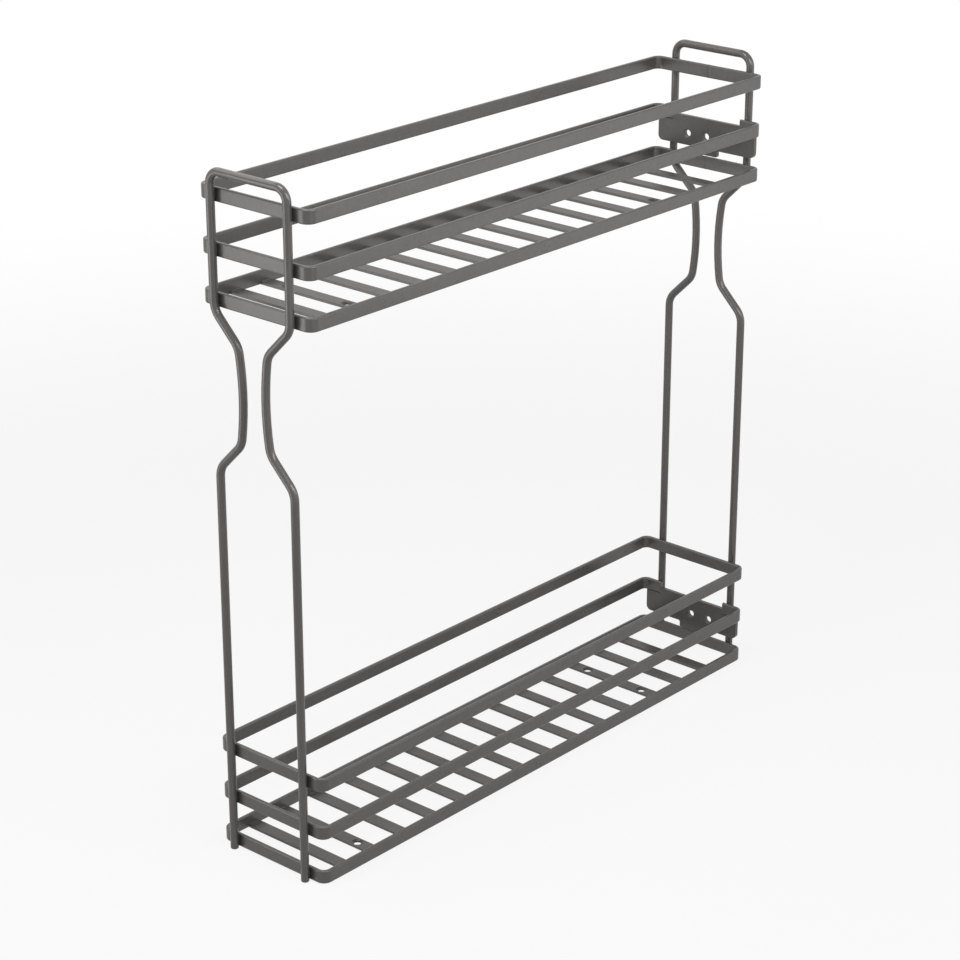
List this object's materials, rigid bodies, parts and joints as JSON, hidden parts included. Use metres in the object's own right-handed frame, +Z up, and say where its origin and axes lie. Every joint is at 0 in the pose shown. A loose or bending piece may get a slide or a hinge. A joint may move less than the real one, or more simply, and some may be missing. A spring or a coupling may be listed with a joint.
{
  "type": "pull-out double basket",
  "caption": "Narrow pull-out basket frame: long flat-bar baskets with cross slats, one above the other, welded between bent-wire end hoops with waisted necks and top handles.",
  "frame": {"origin": "on the floor under the middle of the frame: the hoops' feet stand at Z 0", "axes": "+X runs along the baskets from the near end to the end with the bracket plates, +Y across them, +Z up"},
  "size_m": [0.498, 0.102, 0.4998],
  "materials": {
    "powder_coat": "satin warm-grey powder coat with a fine orange peel"
  },
  "bodies": {
    "root": {"lower_base_ring": "powder_coat", "lower_middle_ring": "powder_coat", "lower_top_ring": "powder_coat", "lower_front_bracket": "powder_coat", "lower_slat_01": "powder_coat", "lower_slat_02": "powder_coat", "lower_slat_03": "powder_coat", "lower_slat_04": "powder_coat", "lower_slat_05": "powder_coat", "lower_slat_06": "powder_coat", "lower_slat_07": "powder_coat", "lower_slat_08": "powder_coat", "lower_slat_09": "powder_coat", "lower_slat_10": "powder_coat", "lower_slat_11": "powder_coat", "lower_slat_12": "powder_coat", "lower_slat_13": "powder_coat", "lower_slat_14": "powder_coat", "upper_base_ring": "powder_coat", "upper_middle_ring": "powder_coat", "upper_top_ring": "powder_coat", "upper_front_bracket": "powder_coat", "upper_slat_01": "powder_coat", "upper_slat_02": "powder_coat", "upper_slat_03": "powder_coat", "upper_slat_04": "powder_coat", "upper_slat_05": "powder_coat", "upper_slat_06": "powder_coat", "upper_slat_07": "powder_coat", "upper_slat_08": "powder_coat", "upper_slat_09": "powder_coat", "upper_slat_10": "powder_coat", "upper_slat_11": "powder_coat", "upper_slat_12": "powder_coat", "upper_slat_13": "powder_coat", "upper_slat_14": "powder_coat", "near_hoop": "powder_coat", "far_hoop": "powder_coat"}
  },
  "joints": []
}
